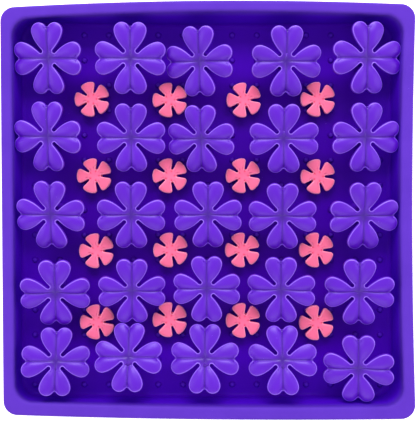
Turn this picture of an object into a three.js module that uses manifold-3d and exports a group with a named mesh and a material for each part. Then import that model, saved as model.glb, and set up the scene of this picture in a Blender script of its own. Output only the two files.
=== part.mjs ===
// Silicone lick mat: a square tray whose floor carries nubs, tall clovers on stems and low flowers
import * as THREE from 'three';
import { mergeVertices } from 'three/addons/utils/BufferGeometryUtils.js';
import Module from 'manifold-3d';

const wasm = await Module();
wasm.setup();

// Driving dimensions, in millimetres. X runs east, Y runs north, and the underside is at height 0
const RIM_HEIGHT = 24;
const FLOOR_HEIGHT = 2;
const WALL_THICKNESS = 3.2;
const LIP_HEIGHT = 4.5;
const EDGE_ROUNDING = 0.9;
const CREASE_ROUNDING = 1.6;
const OUTER_CORNER_RADIUS = 9;
const INNER_CORNER_RADIUS = 11.5;
const CORNER_STEPS = 3;
const SIDE_STEPS = 8;

// The soft rim lies a little out of square: its corners, anticlockwise from the south-east
const RIM_CORNERS = [
  { east: 131, north: -131.5 },
  { east: 131, north: 130 },
  { east: -131, north: 128.5 },
  { east: -129, north: -129.5 },
];

// The floor inside the wall's foot, corner by corner in the same order
const FLOOR_CORNERS = [
  { east: 122, north: -123.3 },
  { east: 122, north: 123.8 },
  { east: -123, north: 123.8 },
  { east: -123, north: -123.3 },
];

// The sides, anticlockwise from the east: how far rim and foot bulge outwards, and the rim's width
const SIDE = { east: 0, north: 1, west: 2, south: 3 };
const SIDES = [
  { rimBulge: -2.6, footBulge: -0.6, rimWidth: 7.2 },
  { rimBulge: 3.2, footBulge: -1, rimWidth: 6.8 },
  { rimBulge: 0, footBulge: 0, rimWidth: 7.2 },
  { rimBulge: 1.8, footBulge: 0.4, rimWidth: 8 },
];

// The nubs stand in a square grid, and each third one makes room for a clover's stem
const NUBS_PER_SIDE = 15;
const NUB_PITCH = { east: 16.34, north: 16.55 };
const NUB_HEIGHT = 1.3;
const NUB_FOOT_RADIUS = 1.6;
const NUB_TOP_RADIUS = 1;
const NUB_SINK = 0.4;
const NUB_FACETS = 5;
const STEM_EVERY = 3;

// Stems
const STEM_RADIUS = 4;
const STEM_FACETS = 6;
const STEM_STEPS = 2;
const STEM_GRIP = 1;
const FIT_GAP = 0.3;

// A clover's head has four heart leaves with a groove along each, between narrow slots
const CLOVER_LEAVES = 4;
const CLOVER_THICKNESS = 3;
const CLOVER_EDGE = 0.8;
const LOBE = { across: 5.1, along: 16.7, radius: 5.1, angles: [130, 82, 34, -14] };
const NOTCH_REACH = 18.6;
const LEAF_SIDE = { across: 8, along: 10.4 };
const SLOT_MOUTH = { across: 4, along: 5.2 };
const SLOT_END = 3.8;
const GROOVE_DEPTH = 1;
const CROWN = { across: 5, along: 15, rise: 0.4 };
const LEAF_ROOT = { across: 3.4, along: 6.6, rise: 0.1 };

// How each clover's head leans from its stem's foot, row by row from the north, west to east.
// The pitch turns the whole row's heads towards the south, in degrees
const CLOVER_ROWS = [
  { pitch: 0, east: [-2, 0, -5, 0, 2], north: [-3.5, -3, -5.5, -5, -3] },
  { pitch: 0, east: [-2, 0.5, -3.5, -1, 1], north: [-3, -3.5, -4, -4, -3.5] },
  { pitch: 3, east: [-0.5, 0.5, 0, -2, 0], north: [-2.5, -2.5, -2.5, -3, -3.5] },
  { pitch: 10, east: [2, 1, -0.5, -3, -2.5], north: [-2, -0.5, 0.5, 0, -1.5] },
  { pitch: 0, east: [2, -1, -1.5, -1.5, -3], north: [3.5, 5, 5.5, 4.5, -0.5] },
];

// A flower has five petals parted by narrow slits
const FLOWER_PETALS = 5;
const FLOWER_THICKNESS = 2.5;
const FLOWER_EDGE = 0.6;
const FLOWER_TOP_HEIGHT = 9;
const PETAL_TIP = 12.2;
const PETAL_SHOULDER = { across: 4.9, along: 11.1 };
const PETAL_SIDE = { across: 5.9, along: 9.2 };
const SLIT_END = 4.8;
const FLOWER_DISH = 0.4;

// How far each flower stands off the grid, row by row from the north, west to east
const FLOWER_ROWS = [
  { east: [-2.5, -0.5, -1, -1.5], north: [-2, -2.5, -2.5, -2] },
  { east: [-1, -0.5, -1.5, -1.5], north: [-2.5, -2.5, -2.5, -3] },
  { east: [0.5, 0, -2, -2.5], north: [-2, -1.5, -1.5, -1.5] },
  { east: [1, -0.5, -1.5, -2.5], north: [1, 2.5, 2, 0.5] },
];

// Finishes
const PURPLE = { color: 0x6d30d8, roughness: 0.45, metalness: 0 };
const DEEP_PURPLE = { color: 0x4a0fa8, roughness: 0.45, metalness: 0 };
const PINK = { color: 0xfb78a5, roughness: 0.5, metalness: 0 };

const UP = new THREE.Vector3(0, 0, 1);
const TURN = 2 * Math.PI;
const WELD = 1e-4;

// A closed body as a manifold solid
function solidOf(geometry) {
  const bare = geometry.index ? geometry.toNonIndexed() : geometry.clone();
  bare.deleteAttribute('normal');
  bare.deleteAttribute('uv');
  const merged = mergeVertices(bare, WELD);
  const mesh = new wasm.Mesh({
    numProp: 3,
    vertProperties: new Float32Array(merged.attributes.position.array),
    triVerts: new Uint32Array(merged.index.array),
  });
  return new wasm.Manifold(mesh);
}

// A manifold solid as a geometry
function geometryOf(solid) {
  const { vertProperties, triVerts } = solid.getMesh();
  const geometry = new THREE.BufferGeometry();
  geometry.setAttribute('position', new THREE.BufferAttribute(vertProperties, 3));
  geometry.setIndex(new THREE.BufferAttribute(triVerts, 1));
  geometry.computeVertexNormals();
  return geometry;
}

// Triangles, each three points, as a geometry
function geometryOfTriangles(triangles) {
  return new THREE.BufferGeometry().setFromPoints(triangles.flat());
}

// A parabola that is 0 at both ends of a side and 1 in its middle
function bulgeShare(t) {
  return 4 * t * (1 - t);
}

// The middle of a row of a number of like things, counted from 0
function middleOf(count) {
  return (count - 1) / 2;
}

// A rounded square loop of points at one height, with each side bulging as a parabola
function bulgedLoop({ corners, bulges, insets, radius, height }) {
  const points = [];
  corners.forEach((corner, k) => {
    const next = (k + 1) % corners.length;
    const arc = cornerArc(corner, k, insets, radius);
    const start = arc[arc.length - 1];
    const end = cornerArc(corners[next], next, insets, radius)[0];
    const outward = new THREE.Vector2(end.y - start.y, start.x - end.x).normalize();
    const side = [];
    for (let j = 1; j < SIDE_STEPS; j += 1) {
      const t = j / SIDE_STEPS;
      side.push(start.clone().lerp(end, t).addScaledVector(outward, bulges[k] * bulgeShare(t)));
    }
    points.push(...arc, ...side);
  });
  return points.map((p) => new THREE.Vector3(p.x, p.y, height));
}

// One rounded corner, moved in by the insets of the two sides that meet there
function cornerArc(corner, k, insets, radius) {
  const east = Math.sign(corner.east);
  const north = Math.sign(corner.north);
  const insetEast = insets[east > 0 ? SIDE.east : SIDE.west];
  const insetNorth = insets[north > 0 ? SIDE.north : SIDE.south];
  const centre = new THREE.Vector2(
    corner.east - east * (insetEast + radius),
    corner.north - north * (insetNorth + radius),
  );
  const arc = [];
  for (let j = 0; j <= CORNER_STEPS; j += 1) {
    const angle = ((k - 1 + j / CORNER_STEPS) * TURN) / 4;
    const reach = new THREE.Vector2(Math.cos(angle), Math.sin(angle));
    arc.push(centre.clone().addScaledVector(reach, radius));
  }
  return arc;
}

// A loop of the rim: share 0 is its outer edge and 1 its inner edge, and trim moves it inwards,
// which tightens its corners by half as much
function rimLoop(share, trim, height) {
  return bulgedLoop({
    corners: RIM_CORNERS,
    bulges: SIDES.map((side) => side.rimBulge),
    insets: SIDES.map((side) => side.rimWidth * share + trim),
    radius: THREE.MathUtils.lerp(OUTER_CORNER_RADIUS, INNER_CORNER_RADIUS, share) - trim / 2,
    height,
  });
}

// A loop of the wall's foot, moved outwards from the floor's edge
function footLoop(outset, height) {
  return bulgedLoop({
    corners: FLOOR_CORNERS,
    bulges: SIDES.map((side) => side.footBulge),
    insets: SIDES.map(() => -outset),
    radius: INNER_CORNER_RADIUS + outset,
    height,
  });
}

// The skin between a stack of loops, closed by a fan over the first and the last one
function loopStack(loops) {
  const triangles = [];
  for (let level = 1; level < loops.length; level += 1) {
    const lower = loops[level - 1];
    const upper = loops[level];
    lower.forEach((point, k) => {
      const next = (k + 1) % lower.length;
      triangles.push([point, lower[next], upper[next]]);
      triangles.push([point, upper[next], upper[k]]);
    });
  }
  const first = loops[0];
  const last = loops[loops.length - 1];
  for (let k = 1; k < first.length - 1; k += 1) {
    triangles.push([first[0], first[k + 1], first[k]]);
    triangles.push([last[0], last[k], last[k + 1]]);
  }
  return geometryOfTriangles(triangles);
}

// The tray's section, from under the foot up the outside, over the lip and down the inside
function trayShell() {
  const lipUnderside = RIM_HEIGHT - LIP_HEIGHT;
  return loopStack([
    footLoop(WALL_THICKNESS - EDGE_ROUNDING, 0),
    footLoop(WALL_THICKNESS, EDGE_ROUNDING),
    rimLoop(1, -WALL_THICKNESS, lipUnderside),
    rimLoop(0, EDGE_ROUNDING, lipUnderside),
    rimLoop(0, 0, lipUnderside + EDGE_ROUNDING),
    rimLoop(0, 0, RIM_HEIGHT - EDGE_ROUNDING),
    rimLoop(0, EDGE_ROUNDING, RIM_HEIGHT),
    rimLoop(1, -EDGE_ROUNDING, RIM_HEIGHT),
    rimLoop(1, 0, RIM_HEIGHT - EDGE_ROUNDING),
    footLoop(0, FLOOR_HEIGHT + CREASE_ROUNDING),
    footLoop(-CREASE_ROUNDING, FLOOR_HEIGHT),
  ]);
}

// A place on the grid, counted in pitches from the middle of the floor
function gridPlace(east, north) {
  return new THREE.Vector3(east * NUB_PITCH.east, north * NUB_PITCH.north, FLOOR_HEIGHT);
}

// One nub, sunk a little into the floor
function nubAt(place) {
  const height = NUB_HEIGHT + NUB_SINK;
  const geometry = new THREE.CylinderGeometry(NUB_TOP_RADIUS, NUB_FOOT_RADIUS, height, NUB_FACETS);
  geometry.rotateX(TURN / 4);
  geometry.translate(place.x, place.y, place.z + NUB_HEIGHT - height / 2);
  return geometry;
}

// Whether a place on the grid belongs to a clover's stem
function isStemPlace(column, row) {
  return column % STEM_EVERY === 1 && row % STEM_EVERY === 1;
}

// The tray with its nubs
function tray() {
  const middle = middleOf(NUBS_PER_SIDE);
  const nubs = [];
  for (let row = 0; row < NUBS_PER_SIDE; row += 1) {
    for (let column = 0; column < NUBS_PER_SIDE; column += 1) {
      if (!isStemPlace(column, row)) {
        nubs.push(solidOf(nubAt(gridPlace(column - middle, middle - row))));
      }
    }
  }
  return geometryOf(nubs.reduce((whole, nub) => whole.add(nub), solidOf(trayShell())));
}

// Half a petal's outline moved inwards, where half[0] is on the petal's axis, which runs north,
// and the last point is on the line between two petals
function insetHalf(half, petals, inset, height) {
  const slitAngle = TURN / 4 - TURN / (2 * petals);
  const slit = new THREE.Vector2(Math.cos(slitAngle), Math.sin(slitAngle));
  const flat = half.map((p) => new THREE.Vector2(p.x, p.y));
  const beforeLast = flat[flat.length - 2];
  const acrossAxis = new THREE.Vector2(-flat[1].x, flat[1].y);
  const acrossSlit = slit.clone().multiplyScalar(2 * beforeLast.dot(slit)).sub(beforeLast);
  return flat.map((point, k) => {
    const before = k === 0 ? acrossAxis : flat[k - 1];
    const after = k === flat.length - 1 ? acrossSlit : flat[k + 1];
    const along = after.clone().sub(point).normalize();
    along.add(point.clone().sub(before).normalize()).normalize();
    return new THREE.Vector3(point.x + along.y * -inset, point.y + along.x * inset, height)
      .setZ(height - (half[k].dip ?? 0));
  });
}

// A plate of like petals round its middle. topFaces names the top's triangles on one half petal:
// a number counts along the outline, and other names are points of inner
function petalPlate({ half, petals, thickness, edge, inner, topFaces }) {
  const bottom = half.map((p) => new THREE.Vector3(p.x, p.y, 0));
  const top = insetHalf(half, petals, edge, thickness);
  const underside = new THREE.Vector3(0, 0, 0);
  const faces = topFaces.map((names) => names.map((name) => inner[name] ?? top[name]));
  for (let k = 1; k < half.length; k += 1) {
    faces.push([underside, bottom[k - 1], bottom[k]]);
    faces.push([bottom[k], bottom[k - 1], top[k - 1]]);
    faces.push([bottom[k], top[k - 1], top[k]]);
  }
  const triangles = [];
  for (let petal = 0; petal < petals; petal += 1) {
    const angle = (petal * TURN) / petals;
    for (const face of faces) {
      const turned = face.map((p) => p.clone().applyAxisAngle(UP, angle));
      const mirrored = face.map((p) => new THREE.Vector3(-p.x, p.y, p.z).applyAxisAngle(UP, angle));
      triangles.push(turned, mirrored.reverse());
    }
  }
  return geometryOfTriangles(triangles);
}

// A clover's head: a heart leaf to each side, pillowed and grooved, its underside at height 0
function cloverHead() {
  const lobe = LOBE.angles.map((degrees) => {
    const angle = THREE.MathUtils.degToRad(degrees);
    return {
      x: LOBE.across + LOBE.radius * Math.cos(angle),
      y: LOBE.along + LOBE.radius * Math.sin(angle),
    };
  });
  const half = [
    { x: 0, y: NOTCH_REACH, dip: GROOVE_DEPTH },
    ...lobe,
    { x: LEAF_SIDE.across, y: LEAF_SIDE.along },
    { x: SLOT_MOUTH.across, y: SLOT_MOUTH.along },
    { x: SLOT_END, y: SLOT_END },
  ];
  const inner = {
    middle: new THREE.Vector3(0, 0, CLOVER_THICKNESS - GROOVE_DEPTH),
    crown: new THREE.Vector3(CROWN.across, CROWN.along, CLOVER_THICKNESS + CROWN.rise),
    root: new THREE.Vector3(LEAF_ROOT.across, LEAF_ROOT.along, CLOVER_THICKNESS + LEAF_ROOT.rise),
  };
  const topFaces = [
    ['crown', 1, 0], ['crown', 2, 1], ['crown', 3, 2], ['crown', 4, 3], ['crown', 5, 4],
    ['crown', 'root', 5], ['crown', 0, 'root'],
    ['root', 6, 5], ['root', 7, 6], ['root', 'middle', 7], ['root', 0, 'middle'],
  ];
  const size = { petals: CLOVER_LEAVES, thickness: CLOVER_THICKNESS, edge: CLOVER_EDGE };
  return petalPlate({ half, inner, topFaces, ...size });
}

// A flower's head: five flat petals round a slightly dished middle, its underside at height 0
function flowerHead() {
  const slitAngle = TURN / 4 - TURN / (2 * FLOWER_PETALS);
  const half = [
    { x: 0, y: PETAL_TIP },
    { x: PETAL_SHOULDER.across, y: PETAL_SHOULDER.along },
    { x: PETAL_SIDE.across, y: PETAL_SIDE.along },
    { x: SLIT_END * Math.cos(slitAngle), y: SLIT_END * Math.sin(slitAngle) },
  ];
  const inner = { middle: new THREE.Vector3(0, 0, FLOWER_THICKNESS - FLOWER_DISH) };
  const topFaces = [['middle', 1, 0], ['middle', 2, 1], ['middle', 3, 2]];
  const size = { petals: FLOWER_PETALS, thickness: FLOWER_THICKNESS, edge: FLOWER_EDGE };
  return petalPlate({ half, inner, topFaces, ...size });
}

// A stem that leaves its foot upright and bends over to reach the head at right angles
function stem(foot, head, headNormal) {
  const bend = new THREE.Vector3(foot.x, foot.y, (foot.z + head.z) / 2);
  const top = head.clone().addScaledVector(headNormal, STEM_GRIP);
  const route = new THREE.QuadraticBezierCurve3(foot, bend, top);
  const section = new THREE.Shape();
  for (let k = 0; k < STEM_FACETS; k += 1) {
    const angle = (k * TURN) / STEM_FACETS;
    const point = [STEM_RADIUS * Math.cos(angle), STEM_RADIUS * Math.sin(angle)];
    if (k === 0) {
      section.moveTo(...point);
    } else {
      section.lineTo(...point);
    }
  }
  return new THREE.ExtrudeGeometry(section, { steps: STEM_STEPS, extrudePath: route });
}

// A head on its stem: the foot stands on the floor, and the head leans and faces as it is told
function headOnStem(headGeometry, foot, head, facing) {
  const turn = new THREE.Quaternion().setFromUnitVectors(UP, facing);
  const placed = headGeometry.clone().applyQuaternion(turn).translate(head.x, head.y, head.z);
  return geometryOf(solidOf(placed).add(solidOf(stem(foot, head, facing))));
}

// One clover, whose head faces the way that its stem leans, pitched with its row
function clover(place, lean, pitch) {
  const foot = place.clone().setZ(FLOOR_HEIGHT + FIT_GAP);
  const height = RIM_HEIGHT - CLOVER_THICKNESS;
  const reach = height - foot.z;
  const south = Math.tan(THREE.MathUtils.degToRad(pitch));
  const facing = new THREE.Vector3(lean.east / reach, lean.north / reach - south, 1).normalize();
  const head = new THREE.Vector3(place.x + lean.east, place.y + lean.north, height);
  return headOnStem(cloverHead(), foot, head, facing);
}

// One flower, which stands upright on a short stem
function flower(place) {
  const foot = place.clone().setZ(FLOOR_HEIGHT + FIT_GAP);
  const head = place.clone().setZ(FLOWER_TOP_HEIGHT - FLOWER_THICKNESS);
  const turned = flowerHead().rotateZ(TURN / 4);
  return headOnStem(turned, foot, head, UP);
}

// A named mesh with a finish of its own
function pieceOf(name, geometry, finish) {
  const piece = new THREE.Mesh(geometry, new THREE.MeshStandardMaterial(finish));
  piece.name = name;
  return piece;
}

// The clovers, on every third place of the grid
function clovers() {
  const group = new THREE.Group();
  const middle = middleOf(CLOVER_ROWS.length);
  CLOVER_ROWS.forEach(({ pitch, east, north }, row) => {
    east.forEach((leanEast, column) => {
      const place = gridPlace((column - middle) * STEM_EVERY, (middle - row) * STEM_EVERY);
      const geometry = clover(place, { east: leanEast, north: north[column] }, pitch);
      group.add(pieceOf(`clover_r${row + 1}_c${column + 1}`, geometry, PURPLE));
    });
  });
  return group;
}

// The flowers, each between four clovers
function flowers() {
  const group = new THREE.Group();
  const middle = middleOf(FLOWER_ROWS.length);
  FLOWER_ROWS.forEach(({ east, north }, row) => {
    east.forEach((offEast, column) => {
      const place = gridPlace((column - middle) * STEM_EVERY, (middle - row) * STEM_EVERY);
      place.x += offEast;
      place.y += north[column];
      group.add(pieceOf(`flower_r${row + 1}_c${column + 1}`, flower(place), PINK));
    });
  });
  return group;
}

const mat = new THREE.Group();
mat.add(pieceOf('tray', tray(), DEEP_PURPLE), clovers(), flowers());

export default mat;
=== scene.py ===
"""Dresses a silicone lick mat over its frame: a rimmed tray, clovers on stems and low flowers."""

import logging
import math
from dataclasses import dataclass, field
from enum import Enum, IntEnum
from random import Random

import bmesh
import bpy
from mathutils import Matrix, Vector


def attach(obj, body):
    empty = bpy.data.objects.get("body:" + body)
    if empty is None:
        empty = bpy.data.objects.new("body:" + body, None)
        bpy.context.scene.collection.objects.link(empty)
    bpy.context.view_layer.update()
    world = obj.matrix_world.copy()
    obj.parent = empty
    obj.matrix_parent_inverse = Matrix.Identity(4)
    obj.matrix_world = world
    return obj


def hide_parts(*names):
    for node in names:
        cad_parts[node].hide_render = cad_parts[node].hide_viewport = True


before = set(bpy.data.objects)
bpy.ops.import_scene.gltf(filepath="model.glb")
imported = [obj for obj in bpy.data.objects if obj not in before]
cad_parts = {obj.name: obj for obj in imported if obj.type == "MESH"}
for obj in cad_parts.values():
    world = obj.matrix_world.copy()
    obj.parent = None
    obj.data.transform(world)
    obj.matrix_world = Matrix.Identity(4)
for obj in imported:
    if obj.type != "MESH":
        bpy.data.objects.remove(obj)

LOG = logging.getLogger("lick_mat")
MM = 0.001
RIM_HEIGHT = 24.0 * MM
UP = Vector((0.0, 0.0, 1.0))
WHITE = (1.0, 1.0, 1.0, 1.0)
GREY = (0.5, 0.5, 0.5, 1.0)

Loop = list[Vector]
Colour = tuple[float, float, float]


class Slot(Enum):
    """The record's material slots."""

    PURPLE = "purple_silicone"
    PINK = "pink_silicone"


class Compass(IntEnum):
    """The order in which a square's sides are listed."""

    EAST = 0
    NORTH = 1
    WEST = 2
    SOUTH = 3


# Places that every sub-assembly shares


@dataclass(frozen=True)
class Grid:
    """The square grid of nubs on the tray's floor, on which stems and flowers stand."""

    pitch_east: float = 16.34 * MM
    pitch_north: float = 16.55 * MM
    per_side: int = 15
    first_stem: int = 1
    stem_every: int = 3
    floor_height: float = 2.0 * MM

    def place(self, east: float, north: float) -> Vector:
        """Finds the place on the floor so many pitches to the east and north of its middle."""
        return Vector((east * self.pitch_east, north * self.pitch_north, self.floor_height))

    def nub_places(self) -> list[Vector]:
        """Lists where nubs stand.

        Returns:
            Every place of the grid that no clover's stem takes.
        """
        middle = (self.per_side - 1) / 2
        steps = range(self.per_side)
        stems = range(self.first_stem, self.per_side, self.stem_every)
        return [
            self.place(column - middle, middle - row)
            for row in steps
            for column in steps
            if not (row in stems and column in stems)
        ]

    def stem_place(self, row: int, column: int, per_side: int) -> Vector:
        """Finds a stem's place, by its row from the north and its column from the west."""
        middle = (per_side - 1) / 2
        return self.place((column - middle) * self.stem_every, (middle - row) * self.stem_every)


@dataclass(frozen=True)
class CloverRow:
    """How a row's clover heads lean, west to east, how large each is and how all pitch south."""

    pitch: float
    east: tuple[float, ...]
    north: tuple[float, ...]
    size: tuple[float, ...]


@dataclass(frozen=True)
class FlowerRow:
    """How far one row of flowers stands off the grid, west to east."""

    east: tuple[float, ...]
    north: tuple[float, ...]


# Both tables run from the north row to the south row, with leans and places in millimetres and
# pitches in degrees.
CLOVER_ROWS = (
    CloverRow(
        pitch=0,
        east=(-3, 0.1, -5, 0.9, 3),
        north=(-3.2, -3.1, -5, -4.9, -2.7),
        size=(1.02, 1.03, 1, 1.01, 1.03),
    ),
    CloverRow(
        pitch=0,
        east=(-3.1, 0.6, -3.9, -0.6, 2.2),
        north=(-3.1, -3.8, -4.5, -4.3, -3.5),
        size=(1.01, 0.99, 0.98, 1, 1),
    ),
    CloverRow(
        pitch=3,
        east=(-1.3, 0.6, 0.3, -1.5, 1.1),
        north=(-3, -3.1, -3, -3.8, -3.6),
        size=(1, 0.99, 0.98, 0.98, 1),
    ),
    CloverRow(
        pitch=7,
        east=(1.5, 1.1, -0.5, -2.3, -1.8),
        north=(-2.8, -1.7, -0.3, -1, -2.1),
        size=(1, 0.97, 0.97, 0.98, 1),
    ),
    CloverRow(
        pitch=4,
        east=(1.7, -1.1, -1.6, -1.4, -2.3),
        north=(3.1, 5.7, 4.9, 4, -1.3),
        size=(0.98, 0.98, 0.99, 0.99, 1.01),
    ),
)
FLOWER_ROWS = (
    FlowerRow(east=(-2.5, -0.5, -1, -1.5), north=(-2, -2.5, -2.5, -2)),
    FlowerRow(east=(-1, -0.5, -1.5, -1.5), north=(-2.5, -2.5, -2.5, -3)),
    FlowerRow(east=(0.5, 0, -2, -2.5), north=(-2, -1.5, -1.5, -1.5)),
    FlowerRow(east=(1, -0.5, -1.5, -2.5), north=(1, 2.5, 2, 0.5)),
)


# Mesh making


@dataclass
class MeshDraft:
    """Points and faces on their way to a mesh, with a painted highlight and a painted shade for
    each point.
    """

    points: list[Vector] = field(default_factory=list)
    painted_highlight: list[float] = field(default_factory=list)
    painted_shade: list[float] = field(default_factory=list)
    faces: list[tuple[int, ...]] = field(default_factory=list)

    def add_point(self, point: Vector, painted_highlight: float = 0.0, painted_shade: float = 0.0) -> int:
        """Adds a point.

        Args:
            point: Where it is.
            painted_highlight: How much highlight is painted there, as on a thin edge, from 0 to 1.
            painted_shade: How much shade is painted there, as in a groove, from 0 to 1.

        Returns:
            The point's number.
        """
        self.points.append(point.copy())
        self.painted_highlight.append(painted_highlight)
        self.painted_shade.append(painted_shade)
        return len(self.points) - 1

    def add_loop(self, loop: Loop, painted_highlight: float = 0.0, painted_shade: float = 0.0) -> list[int]:
        """Adds the points of a loop, alike in painted highlight and painted shade, and gives their
        numbers.
        """
        return [self.add_point(point, painted_highlight, painted_shade) for point in loop]

    def add_strip(self, near: list[int], far: list[int], forward: bool = True) -> None:
        """Joins two lines of as many points with quads.

        Args:
            near: The first line.
            far: The line beside it.
            forward: Whether the quads start along the first line, or the other way round.
        """
        for k in range(len(near) - 1):
            quad = (near[k], near[k + 1], far[k + 1], far[k])
            self.faces.append(quad if forward else tuple(reversed(quad)))

    def cap(self, loop: list[int], outward_up: bool) -> None:
        """Closes a loop, anticlockwise from above, with one face that looks up or down."""
        self.faces.append(tuple(loop) if outward_up else tuple(reversed(loop)))

    def add_stack(self, loops: list[Loop], tones: list[tuple[float, float]] | None = None) -> None:
        """Adds a closed body from a stack of loops, capped at both ends.

        Args:
            loops: The loops, each anticlockwise from above, from the first cap to the last.
            tones: The painted highlight and painted shade of each loop, where they aren't all 0.
        """
        tones = tones or [(0.0, 0.0)] * len(loops)
        numbers = [self.add_loop(loop, *tone) for loop, tone in zip(loops, tones)]
        for lower, upper in zip(numbers, numbers[1:]):
            self.add_strip([*lower, lower[0]], [*upper, upper[0]])
        self.cap(numbers[0], outward_up=False)
        self.cap(numbers[-1], outward_up=True)

    def to_object(self, name: str, weld: float = 0.002 * MM) -> bpy.types.Object:
        """Makes the mesh and its object.

        Args:
            name: The object's name.
            weld: Points closer than this become one.

        Returns:
            The new object, linked into the scene.
        """
        mesh = bpy.data.meshes.new(name)
        mesh.from_pydata([tuple(p) for p in self.points], [], self.faces)
        # Each point's painted highlight and painted shade go into the mesh as attributes.
        for measure, values in (("painted_highlight", self.painted_highlight), ("painted_shade", self.painted_shade)):
            mesh.attributes.new(measure, "FLOAT", "POINT").data.foreach_set("value", values)
        body = bmesh.new()
        body.from_mesh(mesh)
        bmesh.ops.remove_doubles(body, verts=body.verts, dist=weld)
        bmesh.ops.dissolve_degenerate(body, edges=body.edges, dist=weld)
        for face in body.faces:
            face.smooth = True
        body.to_mesh(mesh)
        body.free()
        made = bpy.data.objects.new(name, mesh)
        bpy.context.scene.collection.objects.link(made)
        return made

    def to_piece(self, node: str, finish: bpy.types.Material) -> bpy.types.Object:
        """Makes the object that stands for a node of the frame, and dresses it.

        Args:
            node: The node.
            finish: Its material.

        Returns:
            The new object, riding on the root body.
        """
        made = self.to_object(f"mat_{node}")
        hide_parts(node)
        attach(made, "root")
        made.data.materials.append(finish)
        return made


def quarter_round(
    start: tuple[float, float], end: tuple[float, float], level_first: bool, steps: int
) -> list[tuple[float, float]]:
    """Lists the points of a quarter round in a wall's section.

    Args:
        start: The first point's outset and height.
        end: The last point's outset and height.
        level_first: Whether the round sets out level and ends upright, or the other way round.
        steps: How many steps it takes.

    Returns:
        The outset and height of each point, both ends included.
    """
    points = []
    for k in range(steps + 1):
        angle = math.pi / 2 * k / steps
        early, late = math.sin(angle), 1 - math.cos(angle)
        across, up = (early, late) if level_first else (late, early)
        points.append((
            start[0] + (end[0] - start[0]) * across,
            start[1] + (end[1] - start[1]) * up,
        ))
    return points


def around(angle: float, radius: float) -> Vector:
    """Finds the point at an angle in radians on a circle in plan."""
    return Vector((radius * math.cos(angle), radius * math.sin(angle), 0.0))


def arc_points(centre: Vector, radius: float, start: float, end: float, steps: int) -> list[Vector]:
    """Lists the points of an arc in plan from one angle to another, both in degrees."""
    angles = [math.radians(start + (end - start) * k / steps) for k in range(steps + 1)]
    return [centre + around(angle, radius) for angle in angles]


def curve_points(ends: tuple[Vector, Vector, Vector, Vector], steps: int) -> list[Vector]:
    """Lists the points of a cubic curve after its start.

    Args:
        ends: The start, two handles and the end.
        steps: How many steps it takes.

    Returns:
        The points, without the start.
    """
    points = []
    for k in range(1, steps + 1):
        t = k / steps
        s = 1 - t
        weights = (s**3, 3 * s * s * t, 3 * s * t * t, t**3)
        points.append(sum((w * p for w, p in zip(weights, ends)), Vector((0.0, 0.0, 0.0))))
    return points


def circle(radius: float, facets: int) -> Loop:
    """Lists the points of a circle in plan, anticlockwise from the east."""
    return [around(2 * math.pi * k / facets, radius) for k in range(facets)]


def bell(distance: float, width: float) -> float:
    """Falls smoothly from 1 at no distance, to about a third at its width and then to nothing."""
    return math.exp(-((distance / width) ** 2))


def faded(distance: float, reach: float) -> float:
    """Falls from 1 at no distance to 0 at its reach, ever more gently."""
    return (1 - min(abs(distance), reach) / reach) ** 2


def edge_drop(distance: float, rounding: float) -> float:
    """Finds how far a rounded edge has fallen.

    Args:
        distance: How far from the edge.
        rounding: The rounding's radius.

    Returns:
        The fall: the whole radius at the edge, and 0 past the rounding.
    """
    if distance >= rounding:
        return 0.0
    return rounding - math.sqrt(rounding**2 - (rounding - distance) ** 2)


def bulge_share(t: float) -> float:
    """Rises from 0 at both ends of a side to 1 at its middle, as a parabola."""
    return 4 * t * (1 - t)


# The tray


@dataclass(frozen=True)
class Corner:
    """A corner of the tray before it is rounded."""

    east: float
    north: float


@dataclass(frozen=True)
class Side:
    """How one side of the tray bulges at its rim and at its foot, and how wide its rim is."""

    rim_bulge: float
    foot_bulge: float
    rim_width: float


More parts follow.
